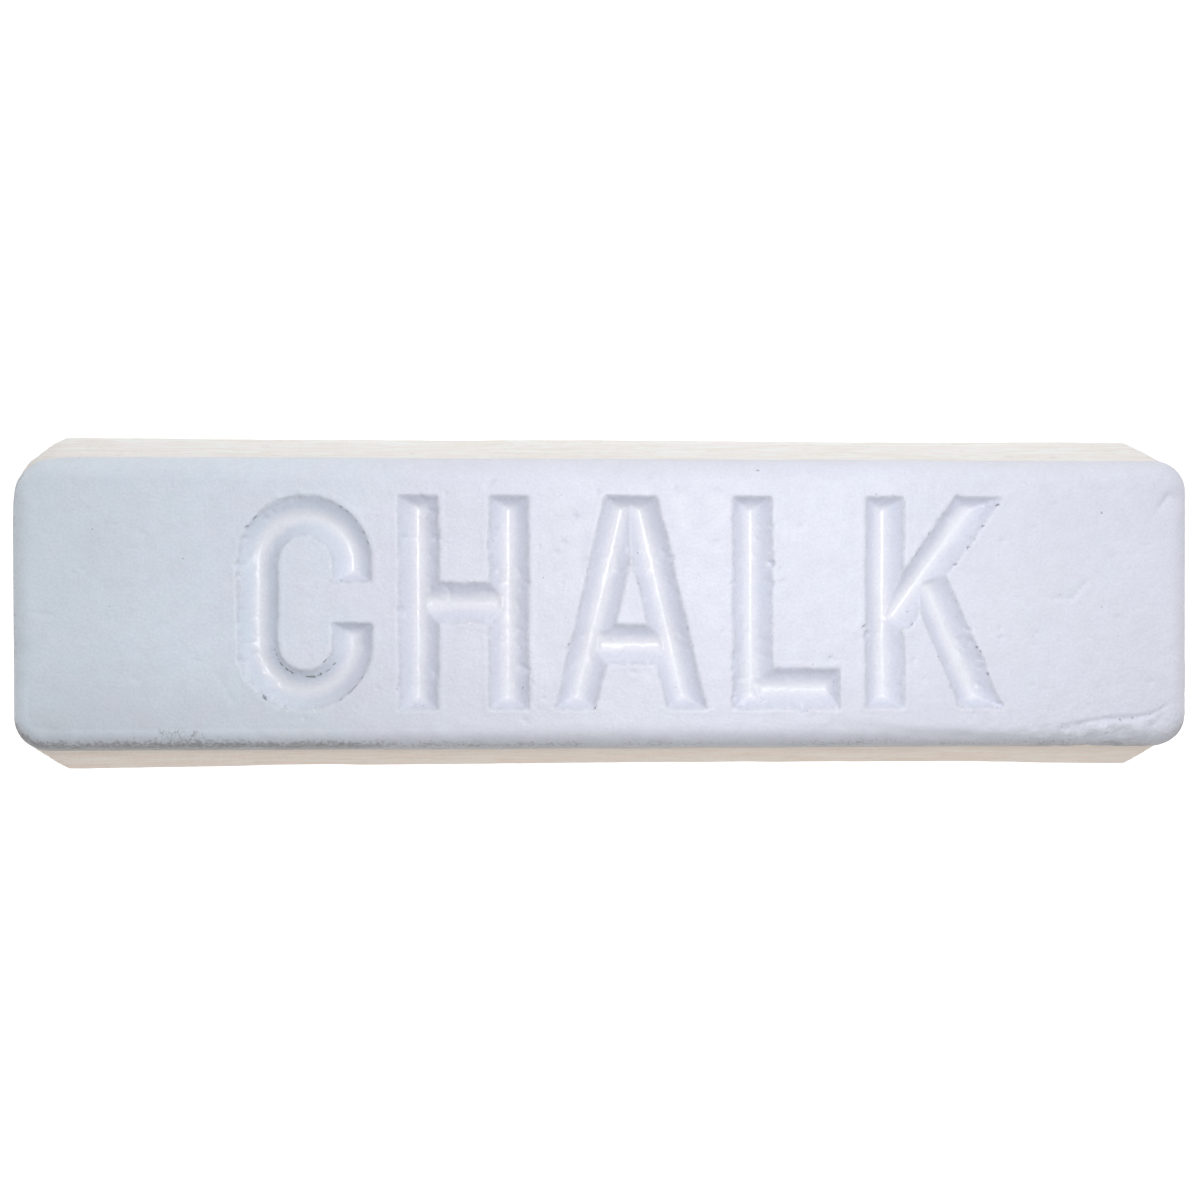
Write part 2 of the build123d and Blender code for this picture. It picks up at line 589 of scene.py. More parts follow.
def from_point(point):
    """Distance in mm of every vertex from a point."""
    return np.linalg.norm(place - np.array(point), axis=1)


# %% How deep inside the word every vertex is, and how near a lip
inside = np.full(len(place), -letter_height)
inside[: len(face_points)] = crumbled_word(face_x, face_y)
near_lip = bell(inside, 0.6)

# %% Dents and scratches
# Each dent has a centre, a radius and a depth. Each scratch has two ends, a width and a depth.
top = bar_height
dents = [
    ((-99.0, 23.5, top - 2.5), 4.5, 1.0),
    ((97.2, 17.8, top - 0.6), 1.6, 0.60),
    ((1.8, 24.0, top - 1.2), 1.5, 0.45),
    ((5.6, 21.6, top), 1.1, 0.22),
    ((-98.0, -8.0, top - 1.5), 1.6, 0.35),
    ((-98.6, -13.5, top - 1.8), 1.3, 0.30),
    ((-94.0, -22.0, top - 1.0), 2.2, 0.35),
]
scratches = [
    ((42.3, 23.6, top - 0.9), (44.4, 22.0, top - 0.2), 0.35, 0.22),
    ((76.0, 0.8, top), (79.4, 0.6, top), 0.45, 0.16),
    ((79.4, 0.6, top), (81.8, 3.4, top), 0.45, 0.20),
    ((94.8, 16.4, top), (96.4, 18.4, top), 0.45, 0.30),
    ((-97.6, -1.7, top - 0.8), (-93.6, -1.9, top), 0.4, 0.20),
    ((-66.0, -12.0, top), (-63.5, -16.5, top), 0.5, 0.10),
    ((-21.0, 19.6, top), (-20.0, 20.5, top), 0.35, 0.25),
]
dented = sum(depth * bell(from_point(centre), radius) for centre, radius, depth in dents)
scratched = sum(
    depth * bell(from_line(start, end), width) for start, end, width, depth in scratches
)

# %% Pores
# A pore is a small dent at a random place on the face, clear of the grooves.
pore_count, pore_seed = 120, 41
smallest_pore, largest_pore, pore_depth_share = 0.25, 0.5, 0.5
dice = np.random.default_rng(pore_seed)
pore_places = dice.uniform(-1, 1, (pore_count, 2)) * (half_face - face_edge_radius)
pore_sizes = dice.uniform(smallest_pore, largest_pore, pore_count)
pored = np.zeros(len(place))
for (pore_x, pore_y), pore_size in zip(pore_places, pore_sizes):
    pored += pore_depth_share * pore_size * bell(from_point((pore_x, pore_y, top)), pore_size)
pored *= inside < -1

# %% [markdown]
# ### Paste that set too soon
# At the lower right the paste met the mould half set. It left a lap, which is a wandering crack,
# and below the crack a crumpled strip. Left of it the face steps down a little along a flow fold.

# %% The lap, its lumps and the fold
lap = [
    (74.0, -22.2, top - 0.1),
    (82.0, -20.6, top),
    (88.0, -20.0, top),
    (92.4, -19.6, top),
    (95.0, -18.4, top),
    (97.4, -16.8, top - 0.3),
    (100.0, -16.0, top - 2.5),
]
lap_depth, lap_width, lap_wander, lump_height = 0.45, 0.30, 0.30, 0.45
lap_distance = from_path(lap) + lap_wander * cloud(place, 2.5, seed=33)
below_lap = smooth_step((-19.6 - y - 0.09 * (88 - x)) / 1.2) * smooth_step((x - 68) / 12)
clear_of_corner = 1 - 0.8 * smooth_step((x - 92) / 5)
crumple = np.clip(0.5 - 1.6 * np.abs(cloud(place, (3.0, 1.8, 1.8), seed=27)), -1, 1)
lap_lumps = lump_height * below_lap * clear_of_corner * crumple * (1 - on_wall)
lapped = lap_depth * bell(lap_distance, lap_width)

fold = [(38, -20.6, top), (46, -21.2, top), (54, -22.8, top - 0.4), (62, -22.6, top - 0.5)]
fold_depth, fold_width, ledge_depth = 0.16, 0.7, 0.20
ledge_line = -20.4 - 0.07 * (x - 38) + 0.3 * cloud(place, 8.0, seed=34)
below_fold = smooth_step((ledge_line - y) / 0.9)
below_fold *= smooth_step((x - 30) / 12) * smooth_step((80 - x) / 16)
below_fold *= smooth_step((facing_up - 0.45) / 0.4)
folded = fold_depth * bell(from_path(fold), fold_width) + ledge_depth * below_fold

# %% A ring of small bubbles
bubble_count, bubble_ring, bubble_size, bubble_height = 6, 1.1, 0.4, 0.10
ring_centre = np.array([10.5, 21.0, top])
bubbles = np.zeros(len(place))
for turn in math.tau * np.arange(bubble_count) / bubble_count:
    from_centre = np.array([bubble_ring * math.cos(turn), bubble_ring * math.sin(turn), 0])
    bubbles += bubble_height * bell(from_point(ring_centre + from_centre), bubble_size)

# %% Waves, streaks and soft edges
# Heights and depths are in millimetres, and so is the size that each cloud is given.
wave_height, ripple_height = 0.10, 0.030
streak_height, wall_wave_height, wall_inset = 0.09, 0.25, 0.12
edge_lump_height, grit_height = 0.14, 0.12
crumb_height, lip_rise = 0.11, 0.02
hollow_depth, torn_height = 0.30, 0.12

face_waves = wave_height * cloud(place, 30.0, seed=21)
face_waves += ripple_height * cloud(place, 5.0, seed=22, layers=3)
face_waves *= on_face
wall_streaks = on_wall * streak_height * cloud(place, (9.0, 9.0, 2.2), seed=23, layers=3)
wall_waves = on_wall * wall_wave_height * cloud(place, 34.0, seed=24)
wall_step = wall_inset * on_wall
edge_lumps = on_edge * edge_lump_height * cloud(place, (14.0, 7.0, 7.0), seed=25, layers=3)
edge_grit = front_edge * grit_height * cloud(place, 1.8, seed=28)
crumbling = smooth_step(3 * cloud(place, 6.0, seed=32) - 0.4)
crumbs = np.maximum(cloud(place, 1.3, seed=31), 0)
lip_grit = on_face * near_lip * (crumb_height * crumbling * crumbs + lip_rise)
base_middle = smooth_step(4 - 4 * np.abs(place[:, :2] / half_base).max(axis=1))
base_hollow = hollow_depth + torn_height * cloud(place, (18.0, 6.0, 18.0), seed=26, layers=3)
base_hollow *= on_base * base_middle

# %% Add up the displacements
groove = np.where(inside > -1, groove_section(inside), 0) * flat_face
raised = face_waves + wall_streaks + wall_waves + edge_lumps
raised += edge_grit + lip_grit + lap_lumps + bubbles
sunk = groove + dented + scratched + pored + lapped + folded + wall_step + base_hollow
shaped = place + normal * (raised - sunk)[:, None]
print("groove depth reached", round(groove.max(), 2), "mm")

# %% [markdown]
# ### A slight bow and skew
# The mould was a little bowed: the front wall is hollow half way along and full at its ends, and
# the left end isn't quite square. These are sideways shifts that grow smoothly, so they bend the
# bar without changing its surface.

# %% Bow and skew
front_hollow, front_fullness = 0.1, 0.6
end_skew = 0.009
low_share = (bar_height - z) / bar_height
front_pull = np.clip(-y / half_base[1], 0, 1) * low_share
bow = front_pull * (front_fullness * (x / half_base[0]) ** 2 - front_hollow)
skew = end_skew * y * np.clip(-x / half_base[0], 0, 1) ** 4
shaped[:, 1] -= bow
shaped[:, 0] -= skew
shaped[:, 2] = np.maximum(shaped[:, 2], 0)
print("bow from", round(bow.min(), 2), "to", round(bow.max(), 2), "mm")

# %% [markdown]
# ## The mesh
# A quad that isn't flat must be cut along one of its diagonals. Cut along the diagonal whose ends
# differ less in height, the triangles follow the lips and floors instead of notching them.
# Attributes travel with the surface and tell the material where the walls, grooves and lips are.

# %% Quads to triangles, and arrays to a mesh
def cut_quads(points, quads):
    """Two triangles for each quad, on the diagonal whose ends are nearer in height."""
    heights = points[:, 2][quads]
    turn = np.abs(heights[:, 1] - heights[:, 3]) < np.abs(heights[:, 0] - heights[:, 2])
    first = np.where(turn[:, None], np.roll(quads, -1, axis=1), quads)
    return np.concatenate([first[:, [0, 1, 2]], first[:, [0, 2, 3]]])


def mesh_from_arrays(name, points, faces):
    """A smooth mesh from points in mm and triangles."""
    mesh = bpy.data.meshes.new(name)
    mesh.vertices.add(len(points))
    mesh.loops.add(faces.size)
    mesh.polygons.add(len(faces))
    mesh.vertices.foreach_set("co", (points * MM).astype(np.float32).ravel())
    mesh.loops.foreach_set("vertex_index", faces.astype(np.int32).ravel())
    mesh.polygons.foreach_set("loop_start", (3 * np.arange(len(faces))).astype(np.int32))
    mesh.polygons.foreach_set("use_smooth", np.ones(len(faces), dtype=bool))
    mesh.update(calc_edges=True)
    return mesh


bar_faces = np.concatenate([cut_quads(shaped, quads), triangles])
bar_mesh = mesh_from_arrays("chalk_bar", shaped, bar_faces)
print("mesh repaired:", bar_mesh.validate(), "triangles:", len(bar_mesh.polygons))
chalk_bar = bpy.data.objects.new("chalk_bar", bar_mesh)
bpy.context.scene.collection.objects.link(chalk_bar)
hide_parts("chalk_block")
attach(chalk_bar, "root")

# %% [markdown]
# ## Stains, creases and painted shade
# Where dirt, cracks and painted shade lie is decided here, as smooth numbers from 0 to 1 on
# the vertices. The material later breaks their edges up with fine noise, so a stain ends in
# specks and a crease in dashes, finer than the mesh itself.

# %% Where the skin is cool, and where dirt and painted shade lie
cool_patches = smooth_step((-x - 5) / 95) + 0.30 * cloud(place, 26.0, seed=51) - 0.05
grime_and_shade_along = 0.30 + 0.55 * smooth_step((-25 - x) / 30) + 0.15 * smooth_step((20 - x) / 60)
low_on_edge = smooth_step((0.95 - facing_up) / 0.5) * (1 - on_wall) * (facing_up > 0)
# Dirt and painted shade on the lower front edge, darker where it turns down and towards the left.
grime_and_shade = 1.5 * low_on_edge * front_share * grime_and_shade_along
# Painted shade on the turned-down edge at the left end.
grime_and_shade += 0.4 * low_on_edge * smooth_step((-95 - x) / 4)
grime_and_shade *= 0.45 + 0.55 * smooth_step(1.6 * cloud(place, (9.0, 4.0, 4.0), seed=53) + 0.5)
speck_line = (-92, -21.8, top), (-62, -22.3, top)
specks = 0.25 + 0.75 * smooth_step(2.2 * cloud(place, 8.0, seed=55))
grime_and_shade += 0.27 * specks * bell(from_line(*speck_line), 1.9)

# %% Painted shade on the edges that turn down, most at the front, and on the face beside it
edge_shade = np.clip((1 - facing_up) / (1 - math.sin(draft)), 0, 1) ** 0.62
edge_shade *= 0.22 + 0.78 * front_share
left_share = 1 - 0.7 * smooth_step((x + 60) / 60)
# The face beside the front edge, most at the left, gets painted shade as well.
front_face_shade = left_share * on_face * smooth_step((-6 - y) / 17)
edge_shade += 0.30 * front_face_shade * (edge_shade < 0.01)

# %% Creases, and where the surface is rough
bowl_centre = word_left + c_width / 2, c_width / 2 - half_letter
bowl_radius = np.hypot(x - bowl_centre[0], y - bowl_centre[1])
bowl_angle = np.degrees(np.arctan2(y - bowl_centre[1], x - bowl_centre[0]))
floor_of_bowl = c_width / 2 - half_stroke
crack_stretch = smooth_step((bowl_angle + 100) / 8) * smooth_step((-28 - bowl_angle) / 8)
dash_stretch = smooth_step((-100 - bowl_angle) / 8) * smooth_step((bowl_angle + 175) / 8)
from_floor = bowl_radius - floor_of_bowl + 0.25 * cloud(place, 4.0, seed=52)
crease_width = 0.26
crease = 0.85 * crack_stretch * bell(from_floor + 2.2, crease_width)
crease += 0.75 * dash_stretch * bell(from_floor + 2.4, crease_width)
crease *= flat_face
crease += 0.48 * bell(lap_distance, 0.40) * smooth_step((x - 80) / 8)

rough = 0.9 * below_lap * (x < half_face[0])
rough += 0.20 * smooth_step((x - 20) / 70) * (1 + cloud(place, 9.0, seed=54))
rough += 0.5 * bell(from_line((66, -21.0, top), (92, -17.5, top)), 3.0)
rough += 0.16 * smooth_step((y - 17) / 3) * smooth_step((x + 40) / 40) * (1 - on_wall)

# %% Write the marks on the mesh
groove_share = groove / groove_depth
marks = {
    "wall": on_wall,
    "base": on_base,
    # The next mark is painted shade on the edges that turn down.
    "edge": edge_shade,
    "groove": groove_share,
    # The next mark also paints a highlight along the groove floors.
    "floor": smooth_step((groove_share - 0.65) / 0.35),
    "lip": near_lip * crumbling * flat_face,
    # The next mark is painted shade just inside the lips.
    "rim_shade": bell(inside - 0.15, 0.32) * flat_face,
    "cool": cool_patches,
    # The next mark is dirt together with painted shade on the lower front edge.
    "grime_and_shade": grime_and_shade,
    "shade": (0.25 + 0.75 * front_share) * bell(below_skin, 8.0),
    "border": (0.35 + 0.65 * front_share) * bell(below_skin, 3.5),
    "front": front_share,
    "crease": crease,
    "rough": rough,
}
for name, values in marks.items():
    layer = bar_mesh.attributes.new(name, "FLOAT", "POINT")
    layer.data.foreach_set("value", np.clip(values, 0, 1).astype(np.float32))
print("attributes:", list(marks))

# %% [markdown]
# ## A cloudy pattern in millimetres
# Every pattern on the chalk, and the grain of the paper under it, is the same soft noise at some
# size. Blender's Noise Texture counts its scale in waves to the metre, so a small group turns a
# size in millimetres into that scale. It can also stretch the pattern along the bar, and shift it
# by a seed. It reads Object coordinates, so the pattern sticks to the piece.

# %% The group
def cloud_group():
    """Inputs: Size in mm, Stretch of each axis, Seed, and how strong the Fine layers are.
    Output: Value, mostly between 0.3 and 0.7."""
    group = bpy.data.node_groups.new("cloud_in_mm", "ShaderNodeTree")
    size = group.interface.new_socket("Size", in_out="INPUT", socket_type="NodeSocketFloat")
    size.default_value = 1.0
    stretch = group.interface.new_socket("Stretch", in_out="INPUT", socket_type="NodeSocketVector")
    stretch.default_value = (1, 1, 1)
    group.interface.new_socket("Seed", in_out="INPUT", socket_type="NodeSocketFloat")
    fine = group.interface.new_socket("Fine", in_out="INPUT", socket_type="NodeSocketFloat")
    fine.default_value = 0.5
    group.interface.new_socket("Value", in_out="OUTPUT", socket_type="NodeSocketFloat")

    given = group.nodes.new("NodeGroupInput")
    result = group.nodes.new("NodeGroupOutput")
    coordinates = group.nodes.new("ShaderNodeTexCoord")
    squeeze = group.nodes.new("ShaderNodeVectorMath")
    squeeze.operation = "DIVIDE"
    shift = group.nodes.new("ShaderNodeVectorMath")
    shift.operation = "ADD"
    waves = group.nodes.new("ShaderNodeMath")
    waves.operation = "DIVIDE"
    waves.inputs[0].default_value = 1 / MM
    noise = group.nodes.new("ShaderNodeTexNoise")
    noise.inputs["Detail"].default_value = 3

    links = group.links
    links.new(coordinates.outputs["Object"], squeeze.inputs[0])
    links.new(given.outputs["Stretch"], squeeze.inputs[1])
    links.new(squeeze.outputs["Vector"], shift.inputs[0])
    links.new(given.outputs["Seed"], shift.inputs[1])
    links.new(given.outputs["Size"], waves.inputs[1])
    links.new(shift.outputs["Vector"], noise.inputs["Vector"])
    links.new(waves.outputs["Value"], noise.inputs["Scale"])
    links.new(given.outputs["Fine"], noise.inputs["Roughness"])
    links.new(noise.outputs["Fac"], result.inputs["Value"])
    return group


cloud_in_mm = cloud_group()


# %% [markdown]
# ## Short names for nodes
# A material is a network of boxes and wires. These helpers each make one box, wire up what they
# are given, and return the box's output, so a recipe can be read from top to bottom like a sum.

# %% One helper for each kind of node
class Recipe:
    """A new material with its Principled BSDF, and helpers that add nodes to it."""

    def __init__(self, name):
        self.material = bpy.data.materials.new(name)
        self.material.use_nodes = True
        self.nodes = self.material.node_tree.nodes
        self.links = self.material.node_tree.links
        self.shader = self.nodes["Principled BSDF"]

    def feed(self, socket, value):
        """Wires an output to a socket, or sets a plain number or colour on it."""
        if isinstance(value, bpy.types.NodeSocket):
            self.links.new(value, socket)
        else:
            socket.default_value = value

    def cloud(self, size, seed, stretch=(1, 1, 1), fine=0.5):
        """The cloudy pattern at a size in mm."""
        node = self.nodes.new("ShaderNodeGroup")
        node.node_tree = cloud_in_mm
        given = {"Size": size, "Seed": seed * MM, "Stretch": stretch, "Fine": fine}
        for name, value in given.items():
            self.feed(node.inputs[name], value)
        return node.outputs["Value"]

    def attribute(self, name):
        """A number written on the vertices."""
        node = self.nodes.new("ShaderNodeAttribute")
        node.attribute_name = name
        return node.outputs["Fac"]

    def math(self, operation, first, second):
        """The result of a Math node for two numbers, by the name of its operation."""
        node = self.nodes.new("ShaderNodeMath")
        node.operation = operation
        self.feed(node.inputs[0], first)
        self.feed(node.inputs[1], second)
        return node.outputs["Value"]

    def plus(self, first, second):
        """A sum of two numbers."""
        return self.math("ADD", first, second)

    def times(self, first, second):
        """A product of two numbers."""
        return self.math("MULTIPLY", first, second)

    def step(self, value, low, high):
        """Rises smoothly from 0 at low to 1 at high."""
        node = self.nodes.new("ShaderNodeMapRange")
        node.interpolation_type = "SMOOTHSTEP"
        self.feed(node.inputs["Value"], value)
        self.feed(node.inputs["From Min"], low)
        self.feed(node.inputs["From Max"], high)
        return node.outputs["Result"]

    def spread(self, value, low, high):
        """A cloud's usual range, 0.3 to 0.7, stretched evenly to low and high."""
        node = self.nodes.new("ShaderNodeMapRange")
        self.feed(node.inputs["Value"], value)
        limits = {"From Min": 0.3, "From Max": 0.7, "To Min": low, "To Max": high}
        for name, number in limits.items():
            self.feed(node.inputs[name], number)
        return node.outputs["Result"]

    def swing(self, value, reach):
        """The same, stretched to reach on both sides of 0."""
        return self.spread(value, -reach, reach)

    def mix(self, share, first, second):
        """Share 0 gives the first number, 1 the second."""
        node = self.nodes.new("ShaderNodeMix")
        self.feed(node.inputs[0], share)
        self.feed(node.inputs[2], first)
        self.feed(node.inputs[3], second)
        return node.outputs[0]

    def blend(self, share, first, second, way="MIX"):
        """The same for colours, or a multiplied blend with way="MULTIPLY"."""
        node = self.nodes.new("ShaderNodeMix")
        node.data_type = "RGBA"
        node.blend_type = way
        self.feed(node.inputs[0], share)
        self.feed(node.inputs[6], first)
        self.feed(node.inputs[7], second)
        return node.outputs[2]

    def bump(self, height):
        """A normal from a height in mm."""
        node = self.nodes.new("ShaderNodeBump")
        node.inputs["Distance"].default_value = MM
        self.feed(node.inputs["Height"], height)
        return node.outputs["Normal"]


# %% [markdown]
# ## The chalk finish
# Where the paste lay against the smooth mould bottom, the bar has a dense bluish-white skin with a
# faint satin gloss, cooler and greener towards its left end. The strokes of the mould pressed
# hardest, so the grooves are the smoothest; their floors are paler, partly in their own colour
# and partly as a painted highlight. The drafted walls were dragged as the bar came out: they
# are creamier, duller, and streaked along their length, warmer at the front and painted lighter
# there as light from the floor, and darkened just below the skin as painted shade. The edges that
# turn down are painted grey as shade, most at the front; the front edge also has dirt in its
# grit, mixed with more painted shade, and the skin is browner along its lower border. The lips and
# cracks are painted dark as shade. A plain colour with one noise would miss this order, so the
# finish is built in layers, each with its own mask.

# %% Colours of the chalk
FACE_LAVENDER = (0.800, 0.828, 0.945, 1)
FACE_COOL = (0.780, 0.872, 0.975, 1)
# Paler groove floors, partly their own colour and partly a painted highlight.
GROOVE_WHITE_AND_HIGHLIGHT = (0.88, 0.90, 0.97, 1)
LIP_WHITE = (0.98, 0.98, 1.0, 1)
WALL_CREAM = (0.836, 0.795, 0.745, 1)
WALL_PINK = (0.872, 0.831, 0.816, 1)
WALL_PALE = (0.872, 0.887, 0.867, 1)
# Painted shade on the walls just below the skin.
WALL_SHADE_BROWN = (0.66, 0.57, 0.49, 1)
# Warmer front walls, also painted lighter as light from the floor.
FRONT_WARMTH_AND_LIGHT = (1.137, 1.030, 0.946, 1)
BORDER_WARMTH = (0.95, 0.86, 0.79, 1)
# Darkens dirt on the lower front edge together with painted shade.
SOIL_AND_SHADE_WARMTH = (0.74, 0.72, 0.70, 1)
BASE_WHITE = (0.82, 0.80, 0.76, 1)
# Painted shade on the edges that turn down, and the grey of dirt with painted shade on the lower
# front edge.
EDGE_SHADE_AND_DIRT_GREY = (0.465, 0.485, 0.53, 1)
DIRT_GREY = (0.26, 0.26, 0.26, 1)
# Painted shade in the cracks.
CREASE_SHADE_GREY = (0.34, 0.35, 0.36, 1)
# Painted shade just inside the groove lips.
RIM_SHADE_GREY = (0.52, 0.54, 0.60, 1)

# %% How strongly each layer covers the one below
# The grey and soil shares cover dirt with painted shade; the rim, edge and shade shares set the
# strength of painted shade.
DIRT_SHARE, GREY_SHARE, SOIL_AND_SHADE_SHARE, FLECK_SHARE = 0.90, 0.75, 0.95, 0.6
RIM_SHADE_SHARE, EDGE_SHADE_SHARE, SHADE_SHARE, DASH_SHARE = 0.35, 0.9, 0.4, 0.38


# %% Masks of the chalk
def chalk_masks(chalk):
    """The smooth vertex masks, with their borders broken up by fine noise."""
    ragged = chalk.swing(chalk.cloud(1.4, seed=61, stretch=(2.5, 2.5, 1)), 0.30)
    speckle = chalk.swing(chalk.cloud(0.7, seed=62, fine=0.8), 0.60)
    dirt = chalk.plus(chalk.attribute("grime_and_shade"), speckle)
    grime_and_shade_cover = chalk.step(chalk.attribute("grime_and_shade"), 0.02, 0.30)
    crumbs = chalk.step(chalk.cloud(0.9, seed=63, fine=0.8), 0.56, 0.66)
    broken = chalk.swing(chalk.cloud(0.8, seed=64), 0.35)
    rim_shade = chalk.step(chalk.cloud(1.3, seed=65, fine=0.7), 0.40, 0.60)
    flecks = chalk.step(chalk.cloud(1.0, seed=66, fine=0.4), 0.755, 0.785)
    return {
        "wall": chalk.step(chalk.plus(chalk.attribute("wall"), ragged), 0.42, 0.58),
        "dirt": chalk.times(chalk.step(dirt, 0.92, 1.22), DIRT_SHARE),
        "grey": chalk.times(chalk.times(chalk.step(dirt, 0.10, 0.95), grime_and_shade_cover), GREY_SHARE),
        "soil_and_shade": chalk.times(chalk.times(chalk.step(dirt, 0.24, 0.90), grime_and_shade_cover), SOIL_AND_SHADE_SHARE),
        "crumbs": chalk.times(crumbs, chalk.attribute("lip")),
        "crease": chalk.step(chalk.plus(chalk.attribute("crease"), broken), 0.56, 0.78),
        "rim_shade": chalk.times(chalk.times(rim_shade, chalk.attribute("rim_shade")), RIM_SHADE_SHARE),
        "flecks": chalk.times(flecks, FLECK_SHARE),
        "base": chalk.attribute("base"),
        "edge": chalk.attribute("edge"),
        "groove": chalk.attribute("groove"),
        "floor": chalk.attribute("floor"),
    }


# %% Colour layers, from the skin outwards
def skin_colour(chalk, masks):
    """Lavender white that turns cool in patches, mottled at three sizes, paler in the grooves
    as own colour and painted highlight, with painted shade at the lips and turned-down edges.
    """
    cool = chalk.plus(chalk.attribute("cool"), chalk.swing(chalk.cloud(5.0, seed=71), 0.25))
    colour = chalk.blend(chalk.step(cool, 0.0, 1.0), FACE_LAVENDER, FACE_COOL)
    # The groove floors are paler, partly their own colour and partly a painted highlight.
    colour = chalk.blend(masks["floor"], colour, GROOVE_WHITE_AND_HIGHLIGHT)
    for size, seed, depth in ((9.0, 72, 0.03), (2.2, 73, 0.035), (0.5, 74, 0.07)):
        shade = chalk.spread(chalk.cloud(size, seed=seed), 1 - depth, 1)
        colour = chalk.blend(1.0, colour, shade, way="MULTIPLY")
    # Painted shade: a thin grey line just inside the lips of the grooves.
    colour = chalk.blend(masks["rim_shade"], colour, RIM_SHADE_GREY)
    # Painted shade: the edges are greyed where they turn down, most at the front and on the face
    # beside it.
    colour = chalk.blend(chalk.times(masks["edge"], EDGE_SHADE_SHARE), colour, EDGE_SHADE_AND_DIRT_GREY)
    return chalk.blend(chalk.attribute("border"), colour, BORDER_WARMTH, way="MULTIPLY")


def wall_colour(chalk):
    """Cream, pink and pale blotches, drawn out a little along the wall, with short dark dashes."""
    blotches = chalk.cloud(5.0, seed=81, stretch=(2.5, 2.5, 1), fine=0.75)
    colour = chalk.blend(chalk.step(blotches, 0.40, 0.62), WALL_CREAM, WALL_PINK)
    pale_blotches = chalk.cloud(3.5, seed=82, stretch=(3, 3, 1), fine=0.75)
    colour = chalk.blend(chalk.step(pale_blotches, 0.46, 0.60), colour, WALL_PALE)
    dashes = chalk.cloud(0.9, seed=83, stretch=(3.5, 3.5, 1), fine=0.6)
    dashes = chalk.times(chalk.step(dashes, 0.62, 0.74), DASH_SHARE)
    return chalk.blend(dashes, colour, DIRT_GREY)


def chalk_colour(chalk, masks):
    """The skin, the wall and the base on their own areas, then crumbs, grey and soil that are dirt
    with painted shade, dirt specks, and creases painted dark as shade.
    """
    # The front walls are warmer, and also painted lighter as light from the floor.
    wall = chalk.blend(chalk.attribute("front"), wall_colour(chalk), FRONT_WARMTH_AND_LIGHT, way="MULTIPLY")
    # Painted shade: the walls are browner just below the skin, most at the front.
    wall = chalk.blend(chalk.times(chalk.attribute("shade"), SHADE_SHARE), wall, WALL_SHADE_BROWN)
    colour = chalk.blend(masks["wall"], skin_colour(chalk, masks), wall)
    blotches = chalk.spread(chalk.cloud(6.0, seed=84, stretch=(3, 1, 1)), 0, 1)
    base = chalk.blend(blotches, BASE_WHITE, WALL_CREAM)
    colour = chalk.blend(masks["base"], colour, base)
    colour = chalk.blend(masks["crumbs"], colour, LIP_WHITE)
    # Dirt and painted shade: the lower front edge is greyed and darkened, most towards the left.
    colour = chalk.blend(masks["grey"], colour, EDGE_SHADE_AND_DIRT_GREY)
    colour = chalk.blend(masks["soil_and_shade"], colour, SOIL_AND_SHADE_WARMTH, way="MULTIPLY")
    colour = chalk.blend(masks["flecks"], colour, DIRT_GREY)
    colour = chalk.blend(masks["dirt"], colour, DIRT_GREY)
    # Painted shade: the cracks are drawn dark.
    return chalk.blend(masks["crease"], colour, CREASE_SHADE_GREY)


# %% Heights of the relief too fine for the mesh, in millimetres
SKIN_GRAIN, SKIN_LUMPS, SKIN_CRUMPLES = 0.010, 0.020, 0.09
WALL_DRAG, WALL_GRAIN = 0.04, 0.04
BASE_TORN, BASE_HOLES = 0.16, 0.25
CREASE_DEPTH, CRUMB_HEIGHT = 0.12, 0.06
GROOVE_SMOOTHING = 0.7


def chalk_relief(chalk, masks):
    """A height in mm: grain and small lumps on the skin, drag marks on the walls, and the torn,
    porous finish of the struck base."""
    grain = chalk.swing(chalk.cloud(0.5, seed=91, fine=0.6), SKIN_GRAIN)
    lumps = chalk.swing(chalk.cloud(1.6, seed=92), SKIN_LUMPS)
    crumples = chalk.swing(chalk.cloud(1.8, seed=98), SKIN_CRUMPLES)
    crumples = chalk.times(crumples, chalk.attribute("rough"))
    skin = chalk.plus(chalk.plus(grain, lumps), crumples)
    skin = chalk.mix(chalk.times(masks["groove"], GROOVE_SMOOTHING), skin, 0.0)
    drag = chalk.swing(chalk.cloud(1.0, seed=93, stretch=(4, 4, 1), fine=0.65), WALL_DRAG)
    wall_grain = chalk.swing(chalk.cloud(0.7, seed=94, fine=0.65), WALL_GRAIN)
    torn = chalk.swing(chalk.cloud(2.2, seed=95, stretch=(1, 3, 1), fine=0.7), BASE_TORN)
    holes = chalk.times(chalk.step(chalk.cloud(1.1, seed=96), 0.62, 0.72), -BASE_HOLES)
    height = chalk.mix(masks["wall"], skin, chalk.plus(drag, wall_grain))
    height = chalk.mix(masks["base"], height, chalk.plus(torn, holes))
    height = chalk.plus(height, chalk.times(masks["crease"], -CREASE_DEPTH))
    return chalk.plus(height, chalk.times(masks["crumbs"], CRUMB_HEIGHT))


# %% Gloss, and the finished material
SKIN_ROUGHNESS, GROOVE_ROUGHNESS, WALL_ROUGHNESS, BASE_ROUGHNESS = 0.50, 0.34, 0.72, 0.85


